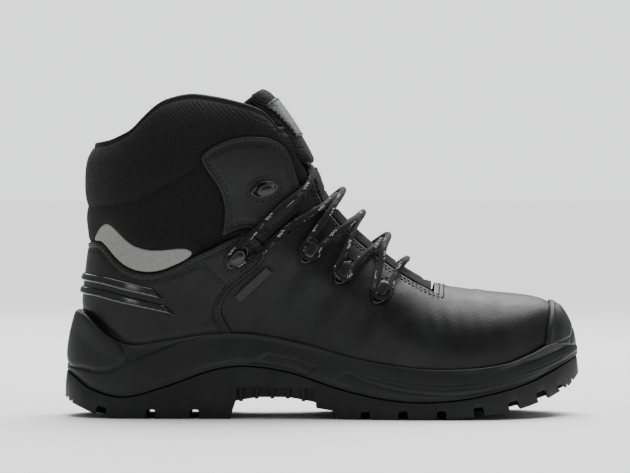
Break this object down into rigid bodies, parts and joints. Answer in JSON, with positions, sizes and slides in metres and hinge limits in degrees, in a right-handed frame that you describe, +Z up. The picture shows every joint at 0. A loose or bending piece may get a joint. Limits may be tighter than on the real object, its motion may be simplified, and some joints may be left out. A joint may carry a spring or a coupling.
{
  "type": "steel toe work boot",
  "caption": "Ankle-high lace-up safety boot with a steel cap inside the toe, a padded collar and a lugged sole, for the right foot.",
  "frame": {"origin": "middle of the boot's footprint box, on the ground plane", "axes": "+X from heel to toe, +Y to the inner (medial) side of the foot, +Z up"},
  "size_m": [0.306, 0.1078, 0.196],
  "materials": {
    "outsole_rubber": "matt moulded rubber",
    "midsole_foam": "satin moulded polyurethane",
    "spring_steel": "plain rolled steel",
    "fibre_board": "pressed fibre",
    "footbed_cloth": "knitted cover on foam",
    "cap_steel": "coated pressed steel",
    "edge_foam": "soft foam strip",
    "counter_board": "thermoplastic sheet",
    "lining_mesh": "knitted spacer mesh",
    "padding_foam": "open foam",
    "ballistic_textile": "fine ribbed black weave",
    "binding_tape": "rolled black tape",
    "smooth_leather": "smooth black leather, soft sheen",
    "gloss_rubber": "satin moulded ribs",
    "bumper_rubber": "satin moulded rubber",
    "reflective_grey": "grey reflective cloth, fine speckle",
    "gusset_cloth": "thin coated cloth",
    "satin_label": "woven satin",
    "hook_plastic": "satin moulded plastic",
    "rivet_metal": "black enamelled metal",
    "lace_cord": "round black braid with pale flecks",
    "lace_tip_plastic": "clear-coated black film",
    "woven_tag": "woven grey cloth"
  },
  "bodies": {
    "root": {"outsole": "outsole_rubber", "midsole": "midsole_foam", "shank": "spring_steel", "insole_board": "fibre_board", "toe_cap": "cap_steel", "toe_cap_edge": "edge_foam", "heel_counter": "counter_board", "vamp_lining": "lining_mesh", "quarter_lining": "lining_mesh", "collar_foam": "padding_foam", "collar_textile": "ballistic_textile", "collar_binding": "binding_tape", "vamp": "smooth_leather", "heel_quarter": "smooth_leather", "heel_ribs": "gloss_rubber", "toe_bumper": "bumper_rubber", "reflective_panel_lateral": "reflective_grey", "reflective_panel_medial": "reflective_grey", "facing_patch_lateral": "smooth_leather", "facing_patch_medial": "smooth_leather", "tongue_lower": "ballistic_textile", "tongue_gusset": "gusset_cloth", "eyelet_hooks": "hook_plastic", "ankle_hooks": "hook_plastic", "top_hooks": "hook_plastic", "hook_rivets": "rivet_metal", "lace": "lace_cord", "lace_tips": "lace_tip_plastic", "side_tag": "woven_tag"},
    "tongue_top": {"tongue_flap": "ballistic_textile", "tongue_label": "satin_label"},
    "footbed_body": {"footbed": "footbed_cloth"}
  },
  "joints": [
    {"name": "tongue_fold", "type": "hinge", "parent": "root", "child": "tongue_top", "pos_m": [-0.006, 0, 0.148], "axis": [0, 1, 0], "range_deg": [0, 60]},
    {"name": "footbed_lift", "type": "hinge", "parent": "root", "child": "footbed_body", "pos_m": [0.14, 0, 0.026], "axis": [0, 1, 0], "range_deg": [0, 4]}
  ]
}
